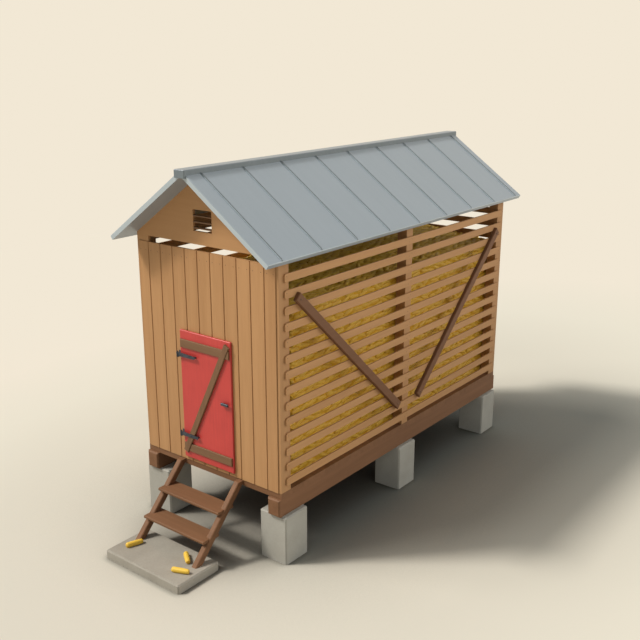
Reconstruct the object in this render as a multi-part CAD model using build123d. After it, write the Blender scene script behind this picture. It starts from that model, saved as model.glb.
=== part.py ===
"""Corn crib: a slatted store on skids and piers, with a braced door, steps and a ribbed metal roof.

Millimetres. +X runs right along the front wall, +Y runs back along the crib, +Z is up from the ground.
"""
import os
from math import atan2, cos, degrees, radians, sin, tan

from build123d import *

# Body: size over the posts
body_width = 1600
body_length = 3702
wall_height = 1924
post_side = 100
corner_post_depth = 120
board_thickness = 25
cut_overrun = 20

# Concrete piers: the front ones are flush with the posts
pier_side = 288
pier_height = 440
pier_outset = 45
pier_back_inset = 25
pier_bevel = 12

# Skids and floor
skid_width = 131
skid_height = 157
skid_reach = 31
skid_bevel = 12
deck_thickness = 55

# Front boards in a rebate of the corner posts, their top rail, and the slot between them and the gable
board_count = 11
board_gap = 6
board_bevel = 3
board_proud = 8
rebate_shoulder = 23
end_board_width = 116
narrowest_board = 30
rail_depth = 45
rail_height = 95
rail_drop = 25
slot_height = 52

# Slatted walls
slat_count = 14
slat_height = 67
slat_thickness = 14
slat_pitch = 133
first_slat_rise = 88
slat_end_inset = 57
slat_bevel = 11

# Diagonal wall braces
brace_width = 77
brace_thickness = 36
brace_top_inset = 181
brace_foot_inset = 167
brace_top_drop = 270
brace_foot_rise = 248
brace_bevel = 6

# Roof: square-cut slabs on wall plates set back from the posts' faces
roof_pitch = 35.2
roof_thickness = 42
roof_overhang = 216
roof_bevel = 5
eave_reach = 67
plate_lift = 18
plate_setback = 30
rib_count = 9
rib_front_margin = 166
rib_back_margin = 113
rib_width = 12
rib_height = 10
rib_bevel = 3
rib_eave_gap = 15
cap_width = 118
cap_height = 44
cap_reach = 17
cap_end_drop = 22
cap_bevel = 6

# Gable vents
vent_width = 210
vent_height = 178
vent_rise = 110
blade_count = 3
blade_depth = 24
blade_thickness = 9
blade_pitch = 50
first_blade_rise = 20
blade_tilt = 8

# Doorway and door
door_width = 590
door_height = 1178
door_sill = 37
door_overlap = 22
door_gap = 3
door_thickness = 18
door_bevel = 4
ledge_height = 74
ledge_thickness = 14
ledge_end_gap = 11
ledge_top_drop = 77
ledge_foot_rise = 68
ledge_bevel = 3
door_brace_width = 55
door_brace_proud = 6
door_brace_side_inset = 30
door_brace_foot_inset = 62
door_brace_top_inset = 36

# Strap hinges on pintles
strap_reach = 212
strap_height = 36
strap_thickness = 6
strap_tip_height = 26
strap_top_drop = 216
strap_foot_rise = 226
strap_spacer_radius = 8
strap_spacer_inset = 15
eye_radius = 10
eye_offset = 14
eye_seat_gap = 0.3
pin_radius = 5.5
pin_clearance = 0.08
pin_stand = 8
pintle_arm_width = 14
pintle_arm_height = 10
pintle_plate_width = 30
pintle_plate_thickness = 5

# Latch bar
latch_length = 80
latch_height = 23
latch_thickness = 12
latch_bevel = 3
latch_stud_radius = 6
latch_stand = 16
latch_rise = 622
latch_edge_gap = 26

# Steps
stringer_width = 58
stringer_depth = 62
stringer_door_margin = 81
stringer_angle = 46.5
stringer_head_reach = 57
stringer_head_drop = 8
stringer_round = 14
tread_count = 2
tread_depth = 185
tread_thickness = 26
tread_nosing = 75
tread_end_inset = 14
tread_round = 8

# Stone pad
pad_height = 79
pad_side_margin = 66
pad_front_margin = 260
pad_back_margin = 118
pad_bevel = 12

# Corn heap with a crowned top, and fallen ears
corn_drop = 326
corn_shoulder_drop = 38
corn_crown_share = 0.45
corn_side_gap = 10
corn_front_gap = 95
corn_back_gap = 10
corn_bevel = 30
ear_length = 150
ear_radius = 23
ear_tip_radius = 17
ear_butt_radius = 19
ear_butt_length = 18
ear_seat = 3

# Places of the fallen ears: share of the pad's half width, share of its depth, turn in degrees
ear_place_shares = [(-0.69, 0.57, 160.6), (0.49, 0.32, 53.6), (0.71, 0.68, 111.8)]

# Levels
deck_bottom = pier_height + skid_height
deck_top = deck_bottom + deck_thickness
wall_top = deck_top + wall_height
gable_bottom = wall_top + slot_height
vent_bottom = gable_bottom + vent_rise
stringer_head = deck_top - stringer_head_drop

# Roof lines, from the underside at the posts up to the ridge
slope = tan(radians(roof_pitch))
half_width = body_width / 2
post_inner = half_width - post_side
underside_at_wall = gable_bottom + plate_lift
ridge_under = underside_at_wall + half_width * slope
slab_length = (half_width + eave_reach) / cos(radians(roof_pitch))
peak_x = roof_thickness * sin(radians(roof_pitch))
peak_z = ridge_under + roof_thickness * cos(radians(roof_pitch))
cap_edge = cap_width / 2
cap_seat = peak_z - (cap_edge - peak_x) * slope
cap_overhang = roof_overhang + cap_reach

# Places along the crib, with the whole footprint centred on the origin
stringer_spread = door_width / 2 + stringer_door_margin
stringer_run = (stringer_head - pad_height) / tan(radians(stringer_angle))
stringer_reach = stringer_head_reach + stringer_run
stringer_level_depth = stringer_depth / sin(radians(stringer_angle))
pad_depth = pad_front_margin + stringer_level_depth + pad_back_margin
pad_reach = stringer_reach + pad_front_margin
pad_half_width = stringer_spread + pad_side_margin
front = (pad_reach - body_length - cap_overhang) / 2
back = front + body_length
middle = front + body_length / 2
roof_front = front - roof_overhang
roof_back = back + roof_overhang
wall_face = front - board_proud
board_back = wall_face + board_thickness
foot_front = front - stringer_reach
pad_front = foot_front - pad_front_margin

# Door planes and levels
door_foot = deck_top + door_sill
door_head = door_foot + door_height
doorway_half = door_width / 2 - door_overlap
doorway_foot = door_foot + door_overlap
doorway_head = door_head - door_overlap
door_back = wall_face - door_gap
door_face = door_back - door_thickness
ledge_face = door_face - ledge_thickness
strap_back = ledge_face - door_brace_proud
hinge_x = -door_width / 2 - eye_offset
hinge_y = strap_back - strap_thickness / 2
strap_levels = [door_foot + strap_foot_rise, door_head - strap_top_drop]

# Joints of the front boards, and the first joint clear of the doorway
boards_end = half_width - rebate_shoulder - board_gap / 2
joint_count = board_count - 1
joint_pitch = 2 * (boards_end - end_board_width) / (joint_count - 1)
joint_lines = [joint_pitch * (index - (joint_count - 1) / 2) for index in range(joint_count)]
jamb_joint = min(line for line in joint_lines if line > doorway_half + narrowest_board)
jamb_end = jamb_joint - board_gap / 2

sides = {"left": -1, "right": 1}
low_corner = (Align.MIN, Align.MIN, Align.MIN)
on_base = (Align.CENTER, Align.CENTER, Align.MIN)


def block(low, high):
    """A box between two opposite corners."""
    size = [far - near for near, far in zip(low, high)]
    return Pos(*low) * Box(*size, align=low_corner)


def mirrored(side, shape):
    """The shape as made for the right side, or its mirror image for the left."""
    return shape if sides[side] > 0 else mirror(shape, about=Plane.YZ)


def profile_along_y(points, start, end):
    """An outline in X and Z, drawn out from one Y to another."""
    face = make_face(Polyline([(x, 0, z) for x, z in points], close=True))
    return Pos(0, start, 0) * extrude(face, amount=end - start, dir=(0, 1, 0))


def profile_along_x(points, start, end):
    """An outline in Y and Z, drawn out from one X to another."""
    face = make_face(Polyline([(0, y, z) for y, z in points], close=True))
    return Pos(start, 0, 0) * extrude(face, amount=end - start, dir=(1, 0, 0))


def bevelled_top(shape, bevel):
    """A block with its upright edges and its top edges bevelled."""
    edges = shape.edges().filter_by(Axis.Z) + shape.faces().sort_by(Axis.Z)[-1].edges()
    return chamfer(edges, bevel)


def bevelled_front(shape, bevel):
    """A board with the edges of its front face bevelled."""
    return chamfer(shape.faces().sort_by(Axis.Y)[0].edges(), bevel)


def place_along(y_place, size, back_inset=0):
    """Start of a piece of some size at the front, the middle or the back of the crib."""
    starts = {"front": front, "mid": middle - size / 2, "back": back - back_inset - size}
    return starts[y_place]


def pier(side, y_place):
    """A square concrete pier."""
    x_outer = half_width + pier_outset
    y_start = place_along(y_place, pier_side, pier_back_inset)
    shape = block((x_outer - pier_side, y_start, 0), (x_outer, y_start + pier_side, pier_height))
    return mirrored(side, bevelled_top(shape, pier_bevel))


def skid(side):
    """A beam along the crib on three piers, bevelled at both ends."""
    low = (half_width - skid_width, front - skid_reach, pier_height)
    high = (half_width, back + skid_reach, deck_bottom)
    shape = block(low, high)
    ends = shape.faces().sort_by(Axis.Y)
    return mirrored(side, chamfer(ends[0].edges() + ends[-1].edges(), skid_bevel))


def floor_deck():
    """The floor on both skids, flush with the posts all round."""
    return block((-half_width, front, deck_bottom), (half_width, back, deck_top))


def post(side, y_place):
    """A post from the floor to the wall plate; a front one is rebated for the ends of the boards."""
    depth = post_side if y_place == "mid" else corner_post_depth
    y_start = place_along(y_place, depth)
    shape = block((post_inner, y_start, deck_top), (half_width, y_start + depth, wall_top))
    if y_place == "front":
        shape -= block(
            (post_inner - cut_overrun, front - cut_overrun, deck_top - cut_overrun),
            (half_width - rebate_shoulder, board_back, wall_top + cut_overrun),
        )
    return mirrored(side, shape)


def plate(side):
    """A wall plate on the posts between the gables, its top bevelled to the roof's pitch."""
    plate_outer = half_width - plate_setback
    points = [
        (post_inner, wall_top),
        (plate_outer, wall_top),
        (plate_outer, underside_at_wall + plate_setback * slope),
        (post_inner, underside_at_wall + post_side * slope),
    ]
    return mirrored(side, profile_along_y(points, front + board_thickness, back - board_thickness))


def slat_levels():
    """Bottom heights of the slats."""
    lowest = deck_top + first_slat_rise - slat_height / 2
    return [lowest + slat_pitch * index for index in range(slat_count)]


def long_slats(side):
    """Slats along one long side, outside the posts, with eased ends."""
    slats = []
    for level in slat_levels():
        low = (half_width, front + slat_end_inset, level)
        high = (half_width + slat_thickness, back - slat_end_inset, level + slat_height)
        shape = block(low, high)
        slats.append(chamfer(shape.edges().filter_by(Axis.X), slat_bevel))
    return mirrored(side, Compound(slats))


def back_slats():
    """Slats across the back, outside the corner posts, with eased ends."""
    slats = []
    reach = half_width - slat_end_inset
    for level in slat_levels():
        shape = block((-reach, back, level), (reach, back + slat_thickness, level + slat_height))
        slats.append(chamfer(shape.edges().filter_by(Axis.Y), slat_bevel))
    return Compound(slats)


def wall_braces(side):
    """Two flat braces on one long side that slope down from the corners to the middle post."""
    x_inner = half_width + slat_thickness
    run = body_length / 2 - brace_top_inset - brace_foot_inset
    top = wall_top - brace_top_drop
    drop = top - deck_top - brace_foot_rise
    length = (run**2 + drop**2) ** 0.5
    bar = Box(brace_thickness, length, brace_width, align=(Align.MIN, Align.MIN, Align.CENTER))
    bar = chamfer(bar.faces().sort_by(Axis.X)[-1].edges(), brace_bevel)
    bar = Rot(X=-degrees(atan2(drop, run))) * bar
    front_bar = Pos(x_inner, front + brace_top_inset, top) * bar
    back_bar = Pos(x_inner, back - brace_top_inset, top) * mirror(bar, about=Plane.XZ)
    return mirrored(side, Compound([front_bar, back_bar]))


def front_boards(x_start, x_end, z_start, z_end):
    """One stretch of the front boarding: upright boards with a narrow gap at each joint."""
    cuts = [line for line in joint_lines if x_start < line < x_end]
    starts = [x_start] + [line + board_gap / 2 for line in cuts]
    stops = [line - board_gap / 2 for line in cuts] + [x_end]
    boards = []
    for start, stop in zip(starts, stops):
        shape = block((start, wall_face, z_start), (stop, board_back, z_end))
        boards.append(chamfer(shape.faces().sort_by(Axis.Y)[0].edges().filter_by(Axis.Z), board_bevel))
    return boards


def side_boards(side):
    """The whole boards on one side of the doorway, and the strip of the next board beside its jamb."""
    boards = front_boards(jamb_joint + board_gap / 2, boards_end, deck_top, wall_top)
    boards += front_boards(doorway_half, jamb_end, doorway_foot, doorway_head)
    return mirrored(side, Compound(boards))


def front_rail():
    """A rail between the front posts that the boards are nailed to."""
    top = wall_top - rail_drop
    return block((-post_inner, board_back, top - rail_height), (post_inner, board_back + rail_depth, top))


def gable_at(y_start):
    """A gable panel under both slopes with its vent hole, on a foot over each corner post."""
    points = [
        (-half_width, gable_bottom),
        (half_width, gable_bottom),
        (half_width, underside_at_wall),
        (0, ridge_under),
        (-half_width, underside_at_wall),
    ]
    panel = profile_along_y(points, y_start, y_start + board_thickness)
    hole = block(
        (-vent_width / 2, y_start - cut_overrun, vent_bottom),
        (vent_width / 2, y_start + board_thickness + cut_overrun, vent_bottom + vent_height),
    )
    foot = block((joint_lines[-1], y_start, wall_top), (half_width, y_start + board_thickness, gable_bottom))
    return Compound([panel - hole, foot, mirrored("left", foot)])


def front_louvre():
    """Slanted blades in the thickness of the front gable, higher inside than outside."""
    vent = block(
        (-vent_width / 2, front, vent_bottom),
        (vent_width / 2, front + board_thickness, vent_bottom + vent_height),
    )
    blades = []
    for index in range(blade_count):
        blade = Box(vent_width, blade_depth, blade_thickness, align=(Align.CENTER, Align.MIN, Align.MIN))
        level = vent_bottom + first_blade_rise + blade_pitch * index
        blades.append(Pos(0, front, level) * Rot(X=blade_tilt) * blade & vent)
    return Compound(blades)


def roof_slope(side):
    """One roof slab with eased outer edges, and its standing ribs, which stop short of the eave."""
    slab = Box(slab_length, roof_back - roof_front, roof_thickness, align=low_corner)
    slab = chamfer(slab.faces().sort_by(Axis.Z)[-1].edges().sort_by(Axis.X)[1:], roof_bevel)
    rib_start = (cap_edge - peak_x) / cos(radians(roof_pitch))
    rib_length = slab_length - rib_start - rib_eave_gap
    rib = Box(rib_length, rib_width, rib_height * 2, align=(Align.MIN, Align.CENTER, Align.CENTER))
    rib = chamfer(rib.faces().sort_by(Axis.Z)[-1].edges().filter_by(Axis.X), rib_bevel)
    spacing = (roof_back - roof_front - rib_front_margin - rib_back_margin) / (rib_count - 1)
    for index in range(rib_count):
        slab += Pos(rib_start, rib_front_margin + spacing * index, roof_thickness) * rib
    return mirrored(side, Pos(0, roof_front, ridge_under) * Rot(Y=roof_pitch) * slab)


def ridge_cap():
    """A square cap astride both slopes, its closed ends in front of the slabs' ends."""
    top = cap_seat + cap_height
    low = cap_seat - cap_end_drop
    shape = block((-cap_edge, front - cap_overhang, low), (cap_edge, back + cap_overhang, top))
    wide = cap_edge + cut_overrun
    points = [
        (-wide, low - cut_overrun),
        (-wide, cap_seat - cut_overrun * slope),
        (-peak_x, peak_z),
        (peak_x, peak_z),
        (wide, cap_seat - cut_overrun * slope),
        (wide, low - cut_overrun),
    ]
    return bevelled_top(shape, cap_bevel) - profile_along_y(points, roof_front, roof_back)


def door_panel():
    """The door leaf, which overlaps the doorway all round."""
    shape = block((-door_width / 2, door_face, door_foot), (door_width / 2, door_back, door_head))
    return bevelled_front(shape, door_bevel)


def door_ledges():
    """Two level boards across the door's face."""
    reach = door_width / 2 - ledge_end_gap
    ledges = []
    for low in (door_foot + ledge_foot_rise, door_head - ledge_top_drop - ledge_height):
        shape = block((-reach, ledge_face, low), (reach, door_face, low + ledge_height))
        ledges.append(bevelled_front(shape, ledge_bevel))
    return Compound(ledges)


def door_brace():
    """A diagonal from the lower hinge side to the upper latch side, notched to lap over both ledges."""
    run = door_width - 2 * door_brace_side_inset
    rise = door_height - door_brace_foot_inset - door_brace_top_inset
    depth = ledge_thickness + door_brace_proud
    bar = Box((run**2 + rise**2) ** 0.5, depth, door_brace_width, align=(Align.MIN, Align.MAX, Align.CENTER))
    bar = bevelled_front(bar, ledge_bevel)
    foot = (door_brace_side_inset - door_width / 2, door_face, door_foot + door_brace_foot_inset)
    return Pos(*foot) * Rot(Y=-degrees(atan2(rise, run))) * bar - door_ledges()


def strap(level):
    """A tapered strap in front of the brace, with a rolled eye and two spacers to the door's face."""
    end_x = hinge_x + strap_reach
    tip_x = end_x - strap_tip_height / 2
    outline = [
        (hinge_x, strap_height / 2),
        (tip_x, strap_tip_height / 2),
        (tip_x, -strap_tip_height / 2),
        (hinge_x, -strap_height / 2),
    ]
    shape = profile_along_y(outline, strap_back - strap_thickness, strap_back)
    shape += Pos(tip_x, strap_back, 0) * Rot(X=90) * Cylinder(strap_tip_height / 2, strap_thickness, align=on_base)
    shape += Pos(hinge_x, hinge_y, 0) * Cylinder(eye_radius, strap_height)
    for spacer_x in (strap_spacer_inset - door_width / 2, tip_x):
        spacer = Cylinder(strap_spacer_radius, door_face - strap_back, align=on_base)
        shape += Pos(spacer_x, door_face, 0) * Rot(X=90) * spacer
    shape -= Pos(hinge_x, hinge_y, 0) * Cylinder(pin_radius + pin_clearance, strap_height + cut_overrun)
    return Pos(0, 0, level) * shape


def pintle(level):
    """A plate on the boards with an arm and an upright pin for one strap's eye."""
    eye_low = level - strap_height / 2
    seat = eye_low - eye_seat_gap
    arm_low = seat - pintle_arm_height
    pin_height = eye_low + strap_height + pin_stand - arm_low
    arm_edge = pintle_arm_width / 2
    foot = Pos(hinge_x, hinge_y, arm_low)
    shape = foot * Cylinder(pin_radius, pin_height, align=on_base)
    shape += foot * Cylinder(arm_edge, pintle_arm_height, align=on_base)
    shape += block((hinge_x - arm_edge, hinge_y, arm_low), (hinge_x + arm_edge, wall_face, seat))
    shape += block(
        (hinge_x + arm_edge - pintle_plate_width, wall_face - pintle_plate_thickness, arm_low),
        (hinge_x + arm_edge, wall_face, eye_low + strap_height),
    )
    return shape


def latch_bar():
    """A short bar on two studs near the door's free edge."""
    end_x = door_width / 2 - latch_edge_gap
    level = door_foot + latch_rise
    bar_back = door_face - latch_stand
    bar = block(
        (end_x - latch_length, bar_back - latch_thickness, level - latch_height / 2),
        (end_x, bar_back, level + latch_height / 2),
    )
    bar = bevelled_front(bar, latch_bevel)
    for stud_x in (end_x - latch_height, end_x - latch_length + latch_height):
        bar += Pos(stud_x, door_face, level) * Rot(X=90) * Cylinder(latch_stud_radius, latch_stand, align=on_base)
    return bar


def step_treads():
    """Treads at even rises from the pad to the floor, their rounded noses in front of the stringers."""
    rise = (deck_top - pad_height) / (tread_count + 1)
    reach = stringer_spread - tread_end_inset
    treads = []
    for index in range(tread_count):
        top = pad_height + rise * (index + 1)
        nose = foot_front + (top - pad_height) / tan(radians(stringer_angle)) - tread_nosing
        shape = block((-reach, nose, top - tread_thickness), (reach, nose + tread_depth, top))
        treads.append(fillet(shape.faces().sort_by(Axis.Y)[0].edges().filter_by(Axis.X), tread_round))
    return Compound(treads)


def step_stringer(side):
    """A slanted bearer with rounded edges from the floor's front edge to the pad, housed for the treads."""
    rise_at_floor = (stringer_reach - stringer_level_depth) * tan(radians(stringer_angle))
    points = [
        (foot_front, pad_height),
        (foot_front + stringer_run, stringer_head),
        (front, stringer_head),
        (front, pad_height + rise_at_floor),
        (foot_front + stringer_level_depth, pad_height),
    ]
    bearer = profile_along_x(points, stringer_spread - stringer_width, stringer_spread)
    slanted = bearer.edges().filter_by(Plane.YZ).sort_by(Edge.length)[-4:]
    return mirrored(side, fillet(slanted, stringer_round) - step_treads())


def step_pad():
    """The stone slab under the steps."""
    shape = block((-pad_half_width, pad_front, 0), (pad_half_width, pad_front + pad_depth, pad_height))
    return bevelled_top(shape, pad_bevel)


def corn_heap():
    """The heap inside, between the posts, with a crowned top and room behind the door."""
    reach = post_inner - corn_side_gap
    crown = wall_top - corn_drop
    points = [
        (-reach, deck_top),
        (reach, deck_top),
        (reach, crown - corn_shoulder_drop),
        (reach * corn_crown_share, crown),
        (-reach * corn_crown_share, crown),
        (-reach, crown - corn_shoulder_drop),
    ]
    shape = profile_along_y(points, front + corner_post_depth + corn_front_gap, back - corn_back_gap)
    ends = shape.faces().sort_by(Axis.Y)
    outline = ends[0].edges() + ends[-1].edges()
    return chamfer([edge for edge in outline if edge.center().Z > deck_top], corn_bevel)


def fallen_ear(x_share, y_share, turn):
    """A tapered ear on the pad, seated on a small flat."""
    half = ear_length / 2
    outline = [
        (0, -half),
        (ear_butt_radius, -half),
        (ear_radius, ear_butt_length - half),
        (ear_radius, 0),
        (ear_tip_radius, half),
        (0, half),
    ]
    profile = make_face(Polyline([(x, 0, z) for x, z in outline], close=True))
    ear = Rot(X=90) * revolve(profile, axis=Axis.Z)
    centre = (x_share * pad_half_width, pad_front + pad_depth - y_share * pad_depth)
    ear = Pos(*centre, pad_height + ear_radius - ear_seat) * Rot(Z=turn) * ear
    above = Pos(*centre, pad_height) * Box(ear_length * 2, ear_length * 2, ear_length, align=on_base)
    return ear & above


pieces = {
    "floor_deck": floor_deck(),
    "front_wall_over_door": Compound(front_boards(-jamb_end, jamb_end, doorway_head, wall_top)),
    "front_wall_sill": Compound(front_boards(-jamb_end, jamb_end, deck_top, doorway_foot)),
    "front_rail": front_rail(),
    "slats_back": back_slats(),
    "gable_front": gable_at(front),
    "gable_back": gable_at(back - board_thickness),
    "louvre_front": front_louvre(),
    "louvre_back": mirror(front_louvre(), about=Plane.XZ.offset(-middle)),
    "ridge_cap": ridge_cap(),
    "door_panel": door_panel(),
    "door_ledges": door_ledges(),
    "door_brace": door_brace(),
    "door_straps": Compound([strap(level) for level in strap_levels]),
    "door_latch": latch_bar(),
    "hinge_pintles": Compound([pintle(level) for level in strap_levels]),
    "step_treads": step_treads(),
    "step_pad": step_pad(),
    "corn_heap": corn_heap(),
    "fallen_ears": Compound([fallen_ear(*place) for place in ear_place_shares]),
}
for side_name in sides:
    pieces[f"skid_{side_name}"] = skid(side_name)
    pieces[f"plate_{side_name}"] = plate(side_name)
    pieces[f"front_wall_{side_name}"] = side_boards(side_name)
    pieces[f"slats_{side_name}"] = long_slats(side_name)
    pieces[f"braces_{side_name}"] = wall_braces(side_name)
    pieces[f"roof_{side_name}"] = roof_slope(side_name)
    pieces[f"stringer_{side_name}"] = step_stringer(side_name)
    for place_name in ("front", "mid", "back"):
        pieces[f"pier_{place_name}_{side_name}"] = pier(side_name, place_name)
        pieces[f"post_{place_name}_{side_name}"] = post(side_name, place_name)

os.makedirs("parts", exist_ok=True)
for node, shape in pieces.items():
    export_step(shape, f"parts/{node}.step")
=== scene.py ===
"""Looks of the corn crib: materials on every node, nails and rivets, the heap of ears, light and camera.

Metres, in the part's own frame.
"""

import math
import random

import bpy
from mathutils import Matrix, Vector


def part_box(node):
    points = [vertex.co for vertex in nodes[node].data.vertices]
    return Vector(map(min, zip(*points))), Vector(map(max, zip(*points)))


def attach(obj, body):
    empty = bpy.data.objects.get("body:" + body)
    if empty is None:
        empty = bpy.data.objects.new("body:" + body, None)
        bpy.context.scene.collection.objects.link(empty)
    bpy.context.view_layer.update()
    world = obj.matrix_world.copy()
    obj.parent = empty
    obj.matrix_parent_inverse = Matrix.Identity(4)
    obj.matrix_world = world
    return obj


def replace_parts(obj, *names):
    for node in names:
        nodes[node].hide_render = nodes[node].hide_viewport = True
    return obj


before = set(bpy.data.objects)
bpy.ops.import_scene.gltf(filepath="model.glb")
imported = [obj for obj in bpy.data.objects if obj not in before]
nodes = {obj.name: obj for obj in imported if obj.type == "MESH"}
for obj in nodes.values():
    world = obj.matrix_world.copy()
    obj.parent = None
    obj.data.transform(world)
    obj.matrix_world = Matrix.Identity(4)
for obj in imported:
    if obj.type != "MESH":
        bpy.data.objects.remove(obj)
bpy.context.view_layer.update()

# Camera, from the front plane of the posts
camera_offset = (5.1237, -5.0158, 4.1746)
target_offset = (0.1168, 1.3876, 1.6858)
sensor_width = 36
image_width = 640
focal_pixels = 895.23
clip_end = 500

# Light: turns from +X and heights in degrees. The key is two suns, one of them softer.
# The low fill reaches only the piers and the pad
key_turn = 41.5
key_height = 48.6
key_strength = 3.5
key_soft_share = 0.42
key_angle = 8
key_soft_angle = 30
fill_turn = 222
fill_height = 22
fill_strength = 1.3
fill_angle = 40
low_fill_turn = 115
low_fill_height = 8
low_fill_strength = 0.42
sky_strength = 0.235
key_colour = (1, 0.965, 0.91)
fill_colour = (1, 0.97, 0.93)
sky_colour = (0.895, 1, 1.045)
backdrop_colour = (0.887, 0.806, 0.665)

# Floor: painted shade, darker round the crib and, by reach and tone, painted contact shade close to its
# pieces.
# Far away it is one with the backdrop
floor_half = 120
floor_shade_reach = 5
floor_length_share = 0.55
floor_tint = (0.99, 1.015, 1.01)
floor_shade_shares = ((0.15, 0.74), (0.3, 0.85), (0.48, 0.86), (0.72, 0.95), (1, 1))
floor_contact_shades = ((1.4, 0.15), (0.06, 0.35))
floor_contact_shade_samples = 8
floor_fade_start = 7
floor_fade_end = 12

# Sizes repeated from the part
board_pitch = 0.1462
board_count = 11
slat_pitch = 0.133
slat_count = 14
first_slat_rise = 0.088
rib_count = 9
rib_front_margin = 0.166
rib_back_margin = 0.113
corn_shoulder_drop = 0.038
corn_crown_share = 0.45
brace_top_inset = 0.181
brace_foot_inset = 0.167
brace_top_drop = 0.27
brace_foot_rise = 0.248
strap_height = 0.036
strap_reach = 0.212
strap_thickness = 0.006
eye_radius = 0.01
ear_length = 0.150
ear_radius = 0.023
ear_seat = 0.003
ear_start_turn = -90
ear_place_shares = [(-0.69, 0.57, 160.6), (0.49, 0.32, 53.6), (0.71, 0.68, 111.8)]

# Nails, bolts and rivets
nail_radius = 0.0035
nail_rise = 0.0012
nail_spread = 0.042
bolt_radius = 0.009
bolt_rise = 0.005
bolt_inset = 0.045
rivet_radius = 0.0055
rivet_rise = 0.0025
rivet_place_shares = (0.3, 0.6, 0.88)
head_sides = 10

# Heap of ears, settled on its right half
heap_seed = 7
heap_inset = 0.014
heap_step = 0.125
heap_row = 0.038
heap_depth = 0.005
heap_settle = 0.055
heap_stagger_shares = (0.3, 0.7)
heap_along_share = 0.16
heap_across_share = 0.25
heap_turn_spread = 0.22
heap_lean_spread = 0.06
heap_rings = 6
heap_sides = 8
pad_ear_rings = 52
pad_ear_sides = 56
kernel_rows = 14
kernels_along = 26
ear_outline_shares = ((0, 0.72), (0.04, 0.90), (0.12, 0.99), (0.55, 1), (0.85, 0.92), (0.96, 0.80), (1, 0.62))

# Roof seams: dark lines along the ribs, painted shade of the ribs
seam_half = 0.0055
seam_soft = 0.003
seam_shade_tone = 0.42

# Grains to a metre, and shares of bare metal
concrete_grain = 90
stone_grain = 60
core_grain = 30
iron_share = 0.6
nail_iron_share = 0.3

# Colours, dark to light
tan_colours = ((0.40, 0.207, 0.086), (0.52, 0.285, 0.127))
gable_colours = ((0.43, 0.225, 0.095), (0.49, 0.268, 0.118))
post_colours = ((0.36, 0.186, 0.078), (0.47, 0.258, 0.115))
brown_colours = ((0.150, 0.068, 0.030), (0.235, 0.115, 0.055))
brace_colours = ((0.135, 0.060, 0.028), (0.195, 0.090, 0.042))
ledge_colours = ((0.150, 0.078, 0.038), (0.225, 0.122, 0.062))
roof_colours = ((0.302, 0.350, 0.395), (0.320, 0.368, 0.413))
# Side faces of the roof sheet: paler, a painted highlight
roof_side_highlight_colours = ((0.40, 0.46, 0.49), (0.46, 0.52, 0.55))
cap_colours = ((0.190, 0.220, 0.250), (0.220, 0.250, 0.280))
# Side faces of the ridge cap: darker, painted shade
cap_side_shade_colours = ((0.150, 0.182, 0.202), (0.180, 0.212, 0.232))
red_colours = ((0.46, 0.036, 0.032), (0.60, 0.055, 0.045))
concrete_colours = ((0.325, 0.308, 0.265), (0.405, 0.390, 0.345))
stone_colours = ((0.295, 0.268, 0.222), (0.375, 0.345, 0.290))
iron_colours = ((0.035, 0.042, 0.055), (0.075, 0.085, 0.105))
nail_colours = ((0.10, 0.055, 0.032), (0.17, 0.095, 0.055))
corn_colours = ((0.70, 0.40, 0.032), (0.95, 0.64, 0.075))
core_colours = ((0.62, 0.35, 0.03), (0.80, 0.48, 0.045))

front_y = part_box("post_front_left")[0].y
back_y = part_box("post_back_left")[1].y
wall_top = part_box("post_front_left")[1].z
deck_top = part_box("floor_deck")[1].z
x_axis, y_axis, z_axis = 0, 1, 2


def add(tree, kind, inputs=None, **settings):
    """A shader node, its inputs set to values or linked from other sockets."""
    node = tree.nodes.new(kind)
    for name, value in settings.items():
        setattr(node, name, value)
    for key, value in (inputs or {}).items():
        if isinstance(value, bpy.types.NodeSocket):
            tree.links.new(value, node.inputs[key])
        else:
            node.inputs[key].default_value = value
    return node


def maths(tree, operation, first, second=0.0):
    """The result of one sum on two values or sockets."""
    return add(tree, "ShaderNodeMath", {0: first, 1: second}, operation=operation).outputs[0]


def blend(tree, first, second, share):
    """A mix of two values, with a share of the second."""
    kept = maths(tree, "MULTIPLY", first, 1 - share)
    return maths(tree, "ADD", kept, maths(tree, "MULTIPLY", second, share))


def multiply(tree, place, factors):
    """A place stretched along each axis."""
    return add(tree, "ShaderNodeVectorMath", {0: place, 1: factors}, operation="MULTIPLY").outputs[0]


def split(tree, place):
    """The three parts of a place or a direction."""
    return add(tree, "ShaderNodeSeparateXYZ", {"Vector": place}).outputs


def rgba(colour):
    """A colour with full alpha."""
    return (*colour, 1)


def ramp(tree, amount, stops):
    """A run of colours over an amount: each stop is a position and a colour."""
    node = add(tree, "ShaderNodeValToRGB", {"Fac": amount})
    elements = node.color_ramp.elements
    while len(elements) < len(stops):
        elements.new(1)
    for element, (position, colour) in zip(elements, stops):
        element.position = position
        element.color = rgba(colour)
    return node.outputs["Color"]


def between(tree, amount, colours, ends):
    """A blend from a dark colour to a light one between two amounts."""
    return ramp(tree, amount, list(zip(ends, colours)))


def noise(tree, place, scale, detail=4, rough=0.55):
    """Soft noise over a place: its scale, detail and roughness."""
    inputs = {"Vector": place, "Scale": scale, "Detail": detail, "Roughness": rough}
    return add(tree, "ShaderNodeTexNoise", inputs).outputs["Fac"]


def spread(tree, value, low, high, start=0.0, end=1.0):
    """A value between two ends laid over another range."""
    inputs = {"Value": value, "From Min": start, "From Max": end, "To Min": low, "To Max": high}
    return add(tree, "ShaderNodeMapRange", inputs).outputs["Result"]


def mix_colours(tree, amount, first, second):
    """A mix of two colours."""
    factor_slot, first_slot, second_slot, result_slot = 0, 6, 7, 2
    inputs = {factor_slot: amount, first_slot: first, second_slot: second}
    return add(tree, "ShaderNodeMix", inputs, data_type="RGBA").outputs[result_slot]


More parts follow.
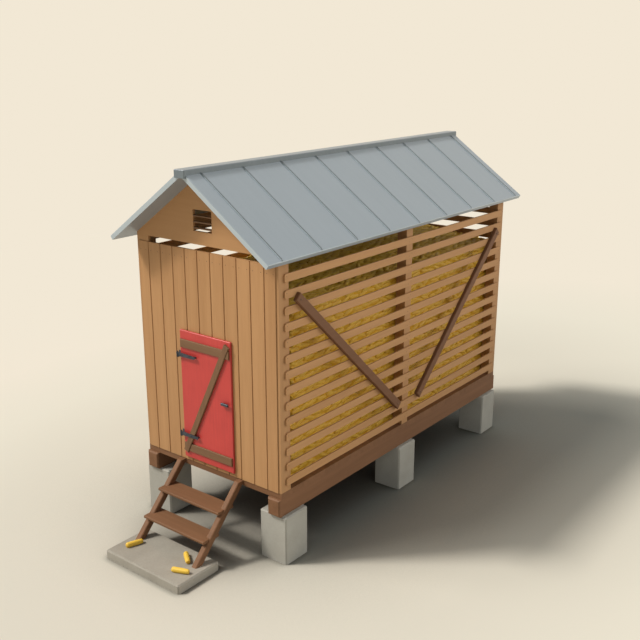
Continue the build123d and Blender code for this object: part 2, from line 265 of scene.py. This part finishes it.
def new_material(name):
    """An empty node material with its node tree, its shader and the place on the piece."""
    material = bpy.data.materials.new(name)
    material.use_nodes = True
    tree = material.node_tree
    place = add(tree, "ShaderNodeTexCoord").outputs["Object"]
    return material, tree, tree.nodes["Principled BSDF"], place


def connect(tree, shader, colour, rough, height, bump_strength, bump_depth):
    """Colour, roughness and bump on a shader."""
    bump = add(tree, "ShaderNodeBump", {"Height": height, "Strength": bump_strength, "Distance": bump_depth})
    tree.links.new(colour, shader.inputs["Base Color"])
    tree.links.new(rough, shader.inputs["Roughness"])
    tree.links.new(bump.outputs["Normal"], shader.inputs["Normal"])


def wood(name, colours, grain_axis, board_axis=None, pitch=1.0, start=0.0):
    """Sawn wood: fibres along one axis, and a tone and pattern of its own for each board."""
    fibre_scale, length_scale, shift, tone_spread = 34, 1.6, 5, 0.07
    tone_noise, broad_noise, fine_noise = (0.7, 1), (0.55, 3, 0.6), (5.5, 5, 0.65)
    fine_share, specular_share = 0.38, 0.3
    colour_ends, rough_ends = (0.25, 0.75), (0.55, 0.75)
    bump_strength, bump_depth = 0.3, 0.0012
    material, tree, shader, place = new_material(name)
    tone = noise(tree, place, *tone_noise)
    shifted = place
    if board_axis is not None:
        off_start = maths(tree, "SUBTRACT", split(tree, place)[board_axis], start)
        board = maths(tree, "FLOOR", maths(tree, "DIVIDE", off_start, pitch))
        chance = add(tree, "ShaderNodeTexWhiteNoise", {"W": board}, noise_dimensions="1D")
        tone = chance.outputs["Value"]
        offset = multiply(tree, chance.outputs["Color"], (shift, shift, shift))
        shifted = add(tree, "ShaderNodeVectorMath", {0: place, 1: offset}).outputs[0]
    stretch = [fibre_scale] * 3
    stretch[grain_axis] = length_scale
    streaks = multiply(tree, shifted, stretch)
    broad = noise(tree, streaks, *broad_noise)
    fine = noise(tree, streaks, *fine_noise)
    grain = blend(tree, broad, fine, fine_share)
    amount = maths(tree, "ADD", grain, spread(tree, tone, -tone_spread, tone_spread))
    colour = between(tree, amount, colours, colour_ends)
    connect(tree, shader, colour, spread(tree, fine, *rough_ends), fine, bump_strength, bump_depth)
    shader.inputs["Specular IOR Level"].default_value = specular_share
    return material


def paint(name, colours, grain_axis):
    """Brushed satin paint over boards, a little thinner and paler in streaks."""
    fibre_scale, length_scale = 26, 1.4
    brush_noise, patch_noise, patch_share = (2.4, 5, 0.6), (3.5, 3), 0.5
    colour_ends, rough_ends = (0.3, 0.7), (0.38, 0.55)
    bump_strength, bump_depth = 0.25, 0.001
    material, tree, shader, place = new_material(name)
    stretch = [fibre_scale] * 3
    stretch[grain_axis] = length_scale
    brush = noise(tree, multiply(tree, place, stretch), *brush_noise)
    patches = noise(tree, place, *patch_noise)
    colour = between(tree, blend(tree, brush, patches, patch_share), colours, colour_ends)
    connect(tree, shader, colour, spread(tree, brush, *rough_ends), brush, bump_strength, bump_depth)
    return material


def sheet_metal(name, colours, painted_side_colours, seam_start=0.0, seam_spacing=1.0, tone=1.0):
    """Painted sheet: faint runs down the slope, dark lines of painted shade along the ribs, and side faces in
    colours of their own: a painted highlight on the roof, painted shade on the ridge cap.
    """
    run_stretch = (1.2, 14, 1.2)
    run_noise, patch_noise, dent_noise, patch_share = (1.6, 4), (1.8, 4), (5, 1), 0.5
    colour_ends, rough_ends, flat_ends, metal_share = (0.32, 0.68), (0.28, 0.4), (0.3, 0.5), 0.1
    bump_strength, bump_depth = 0.12, 0.004
    material, tree, shader, place = new_material(name)
    runs = noise(tree, multiply(tree, place, run_stretch), *run_noise)
    patches = noise(tree, place, *patch_noise)
    dents = noise(tree, place, *dent_noise)
    amount = blend(tree, runs, patches, patch_share)
    top = between(tree, amount, colours, colour_ends)
    edge = between(tree, amount, painted_side_colours, colour_ends)
    # The seam lines are painted shade: darker along each rib, down to the tone
    off_start = maths(tree, "SUBTRACT", split(tree, place)[y_axis], seam_start)
    steps = maths(tree, "DIVIDE", off_start, seam_spacing)
    off_step = maths(tree, "ABSOLUTE", maths(tree, "SUBTRACT", steps, maths(tree, "ROUND", steps)))
    off_seam = maths(tree, "MULTIPLY", off_step, seam_spacing)
    shade = spread(tree, off_seam, tone, 1, seam_half, seam_half + seam_soft)
    upright = split(tree, add(tree, "ShaderNodeNewGeometry").outputs["True Normal"])[z_axis]
    shade = maths(tree, "MAXIMUM", shade, maths(tree, "LESS_THAN", upright))
    shaded = add(tree, "ShaderNodeVectorMath", {0: top, "Scale": shade}, operation="SCALE").outputs[0]
    # Faces that stand up take the side colours: a painted highlight on the roof, painted shade on the ridge
    # cap
    flat = spread(tree, maths(tree, "ABSOLUTE", upright), 0, 1, *flat_ends)
    colour = mix_colours(tree, flat, edge, shaded)
    connect(tree, shader, colour, spread(tree, patches, *rough_ends), dents, bump_strength, bump_depth)
    shader.inputs["Metallic"].default_value = metal_share
    return material


def mineral(name, colours, grain_scale):
    """Concrete or stone: cloudy tone, fine grit and small pits."""
    cloud_noise, grit_detail, grit_roughness = (5, 6, 0.6), 3, 0.7
    pit_scale_share, pit_width, grit_share, pit_share, specular_share = 0.35, 0.33, 0.4, 0.4, 0.25
    colour_ends, rough_ends = (0.3, 0.7), (0.75, 0.95)
    bump_strength, bump_depth = 0.35, 0.003
    material, tree, shader, place = new_material(name)
    clouds = noise(tree, place, *cloud_noise)
    grit = noise(tree, place, grain_scale, grit_detail, grit_roughness)
    pits = add(tree, "ShaderNodeTexVoronoi", {"Vector": place, "Scale": grain_scale * pit_scale_share})
    hollow = spread(tree, pits.outputs["Distance"], 0, 1, 0, pit_width)
    colour = between(tree, blend(tree, clouds, grit, grit_share), colours, colour_ends)
    height = blend(tree, grit, hollow, pit_share)
    connect(tree, shader, colour, spread(tree, grit, *rough_ends), height, bump_strength, bump_depth)
    shader.inputs["Specular IOR Level"].default_value = specular_share
    return material


def forged_iron(name, colours, metal_share):
    """Forged iron with a worn, uneven skin."""
    skin_noise, patch_noise = (60, 4, 0.6), (14, 3)
    colour_ends, rough_ends = (0.3, 0.7), (0.4, 0.62)
    bump_strength, bump_depth = 0.3, 0.0015
    material, tree, shader, place = new_material(name)
    skin = noise(tree, place, *skin_noise)
    patches = noise(tree, place, *patch_noise)
    colour = between(tree, patches, colours, colour_ends)
    connect(tree, shader, colour, spread(tree, patches, *rough_ends), skin, bump_strength, bump_depth)
    shader.inputs["Metallic"].default_value = metal_share
    return material


def ear_skin(name, colours):
    """Kernels in rows: round bumps laid out round and along each ear, with painted shade in the gaps between
    kernels and soft patches of tone.
    """
    tone_noise, tone_share, kernel_power = (6, 2), 0.4, 0.5
    colour_ends, rough_ends = (0.2, 0.8), (0.6, 0.42)
    bump_strength, bump_depth = 0.5, 0.0015
    material, tree, shader, place = new_material(name)
    layout = split(tree, add(tree, "ShaderNodeUVMap", uv_map="ear").outputs["UV"])
    bumps = []
    for part, count in zip(layout, (kernel_rows, kernels_along)):
        turns = maths(tree, "MULTIPLY", part, math.pi * count)
        bumps.append(maths(tree, "ABSOLUTE", maths(tree, "SINE", turns)))
    kernel = maths(tree, "POWER", maths(tree, "MULTIPLY", *bumps), kernel_power)
    tone = noise(tree, place, *tone_noise)
    # Painted shade: the colour is darker in the gaps between kernels
    colour = between(tree, blend(tree, kernel, tone, tone_share), colours, colour_ends)
    connect(tree, shader, colour, spread(tree, kernel, *rough_ends), kernel, bump_strength, bump_depth)
    return material


def mesh_piece(name, verts, faces, material, body, smooth=True):
    """A new piece from points and faces, which rides on a body."""
    mesh = bpy.data.meshes.new(name)
    mesh.from_pydata(verts, [], faces)
    mesh.materials.append(material)
    mesh.polygons.foreach_set("use_smooth", [smooth] * len(mesh.polygons))
    piece = bpy.data.objects.new(name, mesh)
    bpy.context.scene.collection.objects.link(piece)
    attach(piece, body)
    return piece


def heads(name, places, radius, rise, material, body):
    """Round low heads of nails, bolts or rivets: each place is a point and the way it faces."""
    profile_shares = ((1, 0), (0.92, 0.45), (0.6, 0.85))
    rings = len(profile_shares)
    verts = []
    faces = []
    for point, facing in places:
        turn = Vector((0, 0, 1)).rotation_difference(Vector(facing)).to_matrix()
        base = len(verts)
        for width_share, rise_share in profile_shares:
            for side in range(head_sides):
                angle = math.tau * side / head_sides
                width = radius * width_share
                local = Vector((width * math.cos(angle), width * math.sin(angle), rise * rise_share))
                verts.append(Vector(point) + turn @ local)
        top = len(verts)
        verts.append(Vector(point) + turn @ Vector((0, 0, rise)))
        for side in range(head_sides):
            after = (side + 1) % head_sides
            for ring in range(rings - 1):
                low = base + ring * head_sides
                high = low + head_sides
                faces.append((low + side, low + after, high + after, high + side))
            faces.append((top - head_sides + side, top - head_sides + after, top))
        faces.append([base + side for side in reversed(range(head_sides))])
    return mesh_piece(name, verts, faces, material, body)


def middle_of(name):
    """The middle of a node's box."""
    low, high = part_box(name)
    return (low + high) / 2


def slat_nails():
    """Two nails through each slat at every post, on the long sides and the back."""
    places = []
    levels = [deck_top + first_slat_rise + slat_pitch * index for index in range(slat_count)]
    for level in levels:
        for half in (-nail_spread / 2, nail_spread / 2):
            for side, name in ((-1, "left"), (1, "right")):
                slat_low, slat_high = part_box(f"slats_{name}")
                face = slat_low.x if side < 0 else slat_high.x
                for place in ("front", "mid", "back"):
                    middle = middle_of(f"post_{place}_{name}").y
                    places.append(((face, middle + half, level + half / 2), (side, 0, 0)))
                post_middle = middle_of(f"post_back_{name}").x - side * nail_spread / 2
                places.append(((post_middle + half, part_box("slats_back")[1].y, level + half / 2), (0, 1, 0)))
    return places


def board_nails():
    """Two nails through each front board into the rail behind it."""
    places = []
    level = middle_of("front_rail").z
    wall_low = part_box("front_wall_left")[0]
    limit = abs(wall_low.x) - nail_spread / 2
    for index in range(board_count):
        middle = board_pitch * (index - (board_count - 1) / 2)
        for half in (-nail_spread, nail_spread):
            x = max(-limit, min(limit, middle + half))
            places.append(((x, wall_low.y, level), (0, -1, 0)))
    return places


def brace_bolts():
    """A bolt near each end of every wall brace."""
    places = []
    middle = (front_y + back_y) / 2
    for side, name in ((-1, "braces_left"), (1, "braces_right")):
        low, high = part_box(name)
        face = low.x if side < 0 else high.x
        for end, way in ((front_y, 1), (back_y, -1)):
            top = Vector((face, end + way * brace_top_inset, wall_top - brace_top_drop))
            foot = Vector((face, middle - way * brace_foot_inset, deck_top + brace_foot_rise))
            along = (foot - top).normalized() * bolt_inset
            places.append((top + along, (side, 0, 0)))
            places.append((foot - along, (side, 0, 0)))
    return places


def strap_rivets():
    """Rivets along the face of both hinge straps."""
    low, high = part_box("door_straps")
    face = low.y + eye_radius - strap_thickness / 2
    start = low.x + eye_radius
    levels = (low.z + strap_height / 2, high.z - strap_height / 2)
    places = [(start + strap_reach * share, face, level) for level in levels for share in rivet_place_shares]
    return [(place, (0, -1, 0)) for place in places]


def ears(name, places, rings, sides, material):
    """Many ears in one piece: each place is a matrix. The kernels are laid out for the material."""
    shape = []
    for ring in range(rings + 1):
        share = ring / rings
        after = next(index for index, stop in enumerate(ear_outline_shares) if stop[0] >= share)
        after = max(after, 1)
        (start, wide), (end, narrow) = ear_outline_shares[after - 1:after + 1]
        width = ear_radius * (wide + (narrow - wide) * (share - start) / (end - start))
        for side in range(sides + 1):
            angle = math.tau * side / sides
            point = Vector(((share - 1 / 2) * ear_length, width * math.cos(angle), width * math.sin(angle)))
            shape.append((point, (side / sides, share)))
    verts = []
    faces = []
    layout = []
    row = sides + 1
    for place in places:
        base = len(verts)
        verts.extend(place @ point for point, spot in shape)
        layout.extend(spot for point, spot in shape)
        for ring in range(rings):
            for side in range(sides):
                low = base + ring * row + side
                faces.append((low, low + 1, low + row + 1, low + row))
        for ring, order in ((0, -1), (rings, 1)):
            start = base + ring * row
            faces.append([start + side for side in range(sides)][::order])
    piece = mesh_piece(name, verts, faces, material, "crib")
    uv = piece.data.uv_layers.new(name="ear")
    corner_verts = [0] * len(piece.data.loops)
    piece.data.loops.foreach_get("vertex_index", corner_verts)
    uv.data.foreach_set("uv", [value for vert in corner_verts for value in layout[vert]])
    return piece


def heap_face(corner, along, across, chance):
    """Places of ears packed over one face of the heap, each a little off its row."""
    out = along.cross(across).normalized()
    frame_axes = Matrix((along.normalized(), across.normalized(), out)).transposed().to_4x4()
    columns = int(along.length / heap_step)
    rows = int(across.length / heap_row)
    places = []
    for row in range(rows):
        stagger = heap_stagger_shares[row % 2]
        for column in range(columns):
            along_share = (column + stagger + chance.uniform(-heap_along_share, heap_along_share)) / columns
            across_share = (row + 1 / 2 + chance.uniform(-heap_across_share, heap_across_share)) / rows
            depth = ear_radius + chance.uniform(0, heap_depth)
            point = corner + along * along_share + across * across_share - out * depth
            turn = Matrix.Rotation(chance.choice((0, math.pi)) + chance.gauss(0, heap_turn_spread), 4, "Z")
            lean = Matrix.Rotation(chance.uniform(-heap_lean_spread, heap_lean_spread), 4, "Y")
            places.append(Matrix.Translation(point) @ frame_axes @ turn @ lean)
    return places


def heap_outline(inset):
    """The heap's outline in X and Z, from the right over the crown, drawn in by an inset."""
    low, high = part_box("corn_heap")
    crown = high.z - inset
    shoulder = crown - corn_shoulder_drop
    edge = high.x - inset
    crown_edge = high.x * corn_crown_share
    settled = [(edge, low.z), (edge, shoulder - heap_settle), (crown_edge, crown - heap_settle)]
    return settled + [(-crown_edge, crown), (-edge, shoulder), (-edge, low.z)]


def heap_core(material):
    """The inside of the heap behind its outer ears."""
    low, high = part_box("corn_heap")
    outline = heap_outline(heap_inset)
    count = len(outline)
    verts = [(x, y, z) for y in (low.y + heap_inset, high.y - heap_inset) for x, z in outline]
    faces = [tuple(range(count)), tuple(range(2 * count - 1, count - 1, -1))]
    for index in range(count):
        after = (index + 1) % count
        faces.append((index, index + count, after + count, after))
    return mesh_piece("corn_core", verts, faces, material, "crib", smooth=False)


def corn_heap(material, core_material):
    """The heap: a core, and ears over its sides, its ends and its crowned top."""
    low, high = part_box("corn_heap")
    chance = random.Random(heap_seed)
    core = heap_core(core_material)
    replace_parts(core, "corn_heap")
    back = Vector((0, high.y - low.y, 0))
    outline = heap_outline(0)
    names = ("corn_right", "corn_top_right", "corn_top", "corn_top_left", "corn_left")
    for name, (x, z), (next_x, next_z) in zip(names, outline, outline[1:]):
        across = Vector((next_x - x, 0, next_z - z))
        places = heap_face(Vector((x, low.y, z)), back, across, chance)
        ears(name, places, heap_rings, heap_sides, material)
    shoulder = outline[1][1]
    up = Vector((0, 0, shoulder - low.z))
    right = Vector((high.x - low.x, 0, 0))
    far_corner = Vector((high.x, high.y, low.z))
    for name, corner, along in (("corn_front", low, right), ("corn_back", far_corner, -right)):
        ears(name, heap_face(corner, along, up, chance), heap_rings, heap_sides, material)


def fallen_ears(material):
    """The ears on the pad, each where its solid lies."""
    low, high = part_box("step_pad")
    places = []
    for x_share, y_share, turn in ear_place_shares:
        y = high.y - y_share * (high.y - low.y)
        point = Vector((x_share * high.x, y, high.z + ear_radius - ear_seat))
        angle = math.radians(ear_start_turn + turn)
        places.append(Matrix.Translation(point) @ Matrix.Rotation(angle, 4, "Z"))
    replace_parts(ears("ears_on_pad", places, pad_ear_rings, pad_ear_sides, material), "fallen_ears")


def dress(material, names):
    """One material on whole CAD nodes."""
    for name in names:
        nodes[name].data.materials.clear()
        nodes[name].data.materials.append(material)


def heading_of(turn, height):
    """The way that light runs: a turn from +X, and down by a height."""
    turn, height = math.radians(turn), math.radians(height)
    flat = math.cos(height)
    return Vector((flat * math.cos(turn), flat * math.sin(turn), -math.sin(height)))


def sun(name, turn, height, strength, angle, colour):
    """A soft sun lamp."""
    lamp = bpy.data.lights.new(name, "SUN")
    lamp.energy = strength
    lamp.angle = math.radians(angle)
    lamp.color = colour
    light = bpy.data.objects.new(name, lamp)
    light.rotation_euler = heading_of(turn, height).to_track_quat("-Z", "Y").to_euler()
    bpy.context.scene.collection.objects.link(light)
    return light


def set_world():
    """An even sky for the light, and the backdrop's own colour for the camera."""
    world = bpy.data.worlds.new("studio")
    bpy.context.scene.world = world
    world.use_nodes = True
    tree = world.node_tree
    light = tree.nodes["Background"]
    light.inputs["Color"].default_value = rgba(sky_colour)
    light.inputs["Strength"].default_value = sky_strength
    seen = add(tree, "ShaderNodeBackground", {"Color": rgba(backdrop_colour), "Strength": 1})
    ray = add(tree, "ShaderNodeLightPath").outputs
    mirrored = maths(tree, "MAXIMUM", ray["Is Glossy Ray"], ray["Is Transmission Ray"])
    shown = maths(tree, "MAXIMUM", ray["Is Camera Ray"], mirrored)
    mix = add(tree, "ShaderNodeMixShader", {0: shown, 1: light.outputs[0], 2: seen.outputs[0]})
    tree.links.new(mix.outputs[0], tree.nodes["World Output"].inputs["Surface"])


def lit_floor_colour():
    """The floor's colour that the key and the sky light to the backdrop's colour."""
    level = key_strength * math.sin(math.radians(key_height)) / math.pi
    parts = zip(backdrop_colour, key_colour, sky_colour)
    return tuple(wanted / (level * key + sky_strength * sky) for wanted, key, sky in parts)


def set_floor():
    """A wide pale floor that ends in the backdrop, with painted shade round the crib and painted contact shade
    close to its pieces.
    """
    material, tree, shader, place = new_material("floor")
    centre = (0, (front_y + back_y) / 2, 0)
    off_centre = add(tree, "ShaderNodeVectorMath", {0: place, 1: centre}, operation="SUBTRACT").outputs[0]
    drawn_in = multiply(tree, off_centre, (1, floor_length_share, 0))
    distance = add(tree, "ShaderNodeVectorMath", {0: drawn_in}, operation="LENGTH").outputs["Value"]
    far_colour = lit_floor_colour()
    near_colour = [part * tint for part, tint in zip(far_colour, floor_tint)]
    # Painted shade: the floor's colour darkens by its distance from the crib
    *near_tones, (far_share, far_tone) = floor_shade_shares
    stops = [(share, [part * tone for part in near_colour]) for share, tone in near_tones]
    stops.append((far_share, [part * far_tone for part in far_colour]))
    tinted_and_shaded = ramp(tree, maths(tree, "DIVIDE", distance, floor_shade_reach), stops)
    # Painted contact shade: ambient occlusion darkens the floor's colour close to the pieces
    contact_shade = 1
    for reach, tone in floor_contact_shades:
        contact = add(tree, "ShaderNodeAmbientOcclusion", {"Distance": reach}, samples=floor_contact_shade_samples)
        contact_shade = maths(tree, "MULTIPLY", contact_shade, spread(tree, contact.outputs["AO"], tone, 1))
    toned = add(tree, "ShaderNodeVectorMath", {0: tinted_and_shaded, "Scale": contact_shade}, operation="SCALE").outputs[0]
    tree.links.new(toned, shader.inputs["Base Color"])
    shader.inputs["Roughness"].default_value = 1
    shader.inputs["Specular IOR Level"].default_value = 0
    far = spread(tree, distance, 0, 1, floor_fade_start, floor_fade_end)
    glow = add(tree, "ShaderNodeEmission", {"Color": rgba(backdrop_colour), "Strength": 1})
    mix = add(tree, "ShaderNodeMixShader", {0: far, 1: shader.outputs[0], 2: glow.outputs[0]})
    tree.links.new(mix.outputs[0], tree.nodes["Material Output"].inputs["Surface"])
    mesh = bpy.data.meshes.new("floor")
    corners = [(x * floor_half, y * floor_half, 0) for x, y in ((-1, -1), (1, -1), (1, 1), (-1, 1))]
    mesh.from_pydata(corners, [], [(0, 1, 2, 3)])
    mesh.materials.append(material)
    floor = bpy.data.objects.new("floor", mesh)
    bpy.context.scene.collection.objects.link(floor)
    return floor


def keep_on(light, pieces):
    """Keeps a lamp's light on some pieces and off the floor, so that the crib's shadow stays deep."""
    lit = bpy.data.collections.new(f"lit_by_{light.name}")
    for piece in pieces:
        lit.objects.link(piece)
    light.light_linking.receiver_collection = lit


def set_camera():
    """The camera at the photo's place, height and lens."""
    lens = bpy.data.cameras.new("camera")
    lens.sensor_width = sensor_width
    lens.lens = sensor_width * focal_pixels / image_width
    lens.clip_end = clip_end
    camera = bpy.data.objects.new("camera", lens)
    camera.location = Vector((0, front_y, 0)) + Vector(camera_offset)
    heading = Vector(target_offset) - Vector(camera_offset)
    camera.rotation_euler = heading.to_track_quat("-Z", "Y").to_euler()
    bpy.context.scene.collection.objects.link(camera)
    bpy.context.scene.camera = camera


# Materials by node
first_slat = deck_top + first_slat_rise - slat_pitch / 2
roof_low, roof_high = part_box("roof_right")
seam_spacing = (roof_high.y - roof_low.y - rib_front_margin - rib_back_margin) / (rib_count - 1)
seam_start = roof_low.y + rib_front_margin
front_wood = wood("front_boards", tan_colours, z_axis, x_axis, board_pitch, board_pitch / 2)
gable_wood = wood("gables", gable_colours, x_axis)
long_slat_wood = wood("long_slats", tan_colours, y_axis, z_axis, slat_pitch, first_slat)
back_slat_wood = wood("back_slats", tan_colours, x_axis, z_axis, slat_pitch, first_slat)
post_wood = wood("posts", post_colours, z_axis)
rail_wood = wood("rail", post_colours, x_axis)
plate_wood = wood("plates", post_colours, y_axis)
skid_wood = wood("skids", brown_colours, y_axis)
deck_wood = wood("deck_boards", brown_colours, x_axis, y_axis, board_pitch, front_y)
step_wood = wood("steps", brown_colours, x_axis)
stringer_wood = wood("stringers", brown_colours, y_axis)
brace_wood = wood("braces", brace_colours, y_axis)
ledge_wood = wood("ledges", ledge_colours, x_axis)
diagonal_wood = wood("door_diagonal", ledge_colours, z_axis)
roof_metal = sheet_metal("roof_sheet", roof_colours, roof_side_highlight_colours, seam_start, seam_spacing, seam_shade_tone)
cap_metal = sheet_metal("cap_sheet", cap_colours, cap_side_shade_colours)
red_paint = paint("red_paint", red_colours, z_axis)
concrete = mineral("concrete", concrete_colours, concrete_grain)
stone = mineral("pad_stone", stone_colours, stone_grain)
iron = forged_iron("iron", iron_colours, iron_share)
nail_iron = forged_iron("nail_iron", nail_colours, nail_iron_share)
corn = ear_skin("corn", corn_colours)
corn_inside = mineral("corn_inside", core_colours, core_grain)

dress(front_wood, [name for name in nodes if name.startswith("front_wall")])
dress(gable_wood, ["gable_front", "gable_back"])
dress(rail_wood, ["front_rail"])
dress(long_slat_wood, ["slats_left", "slats_right"])
dress(back_slat_wood, ["slats_back"])
dress(post_wood, [name for name in nodes if name.startswith("post_")])
dress(plate_wood, ["plate_left", "plate_right"])
dress(skid_wood, ["skid_left", "skid_right"])
dress(deck_wood, ["floor_deck"])
dress(step_wood, ["step_treads"])
dress(stringer_wood, ["stringer_left", "stringer_right"])
dress(brace_wood, ["braces_left", "braces_right"])
dress(ledge_wood, ["louvre_front", "louvre_back", "door_ledges"])
dress(diagonal_wood, ["door_brace"])
dress(roof_metal, ["roof_left", "roof_right"])
dress(cap_metal, ["ridge_cap"])
dress(red_paint, ["door_panel"])
dress(concrete, [name for name in nodes if name.startswith("pier_")])
dress(stone, ["step_pad"])
dress(iron, ["door_straps", "hinge_pintles", "door_latch"])

heads("slat_nails", slat_nails(), nail_radius, nail_rise, nail_iron, "crib")
heads("board_nails", board_nails(), nail_radius, nail_rise, nail_iron, "crib")
heads("brace_bolts", brace_bolts(), bolt_radius, bolt_rise, nail_iron, "crib")
heads("strap_rivets", strap_rivets(), rivet_radius, rivet_rise, iron, "door")
corn_heap(corn, corn_inside)
fallen_ears(corn)

set_camera()
stage_floor = set_floor()
set_world()
sun("key", key_turn, key_height, key_strength * (1 - key_soft_share), key_angle, key_colour)
sun("soft_key", key_turn, key_height, key_strength * key_soft_share, key_soft_angle, key_colour)
crib_pieces = [piece for piece in bpy.context.scene.objects if piece.type == "MESH" and piece != stage_floor]
low_pieces = [nodes[name] for name in nodes if name.startswith(("pier_", "step_pad"))]
keep_on(sun("fill", fill_turn, fill_height, fill_strength, fill_angle, fill_colour), crib_pieces)
low_fill = sun("low_fill", low_fill_turn, low_fill_height, low_fill_strength, fill_angle, fill_colour)
keep_on(low_fill, low_pieces)
bpy.context.scene.view_settings.view_transform = "Standard"
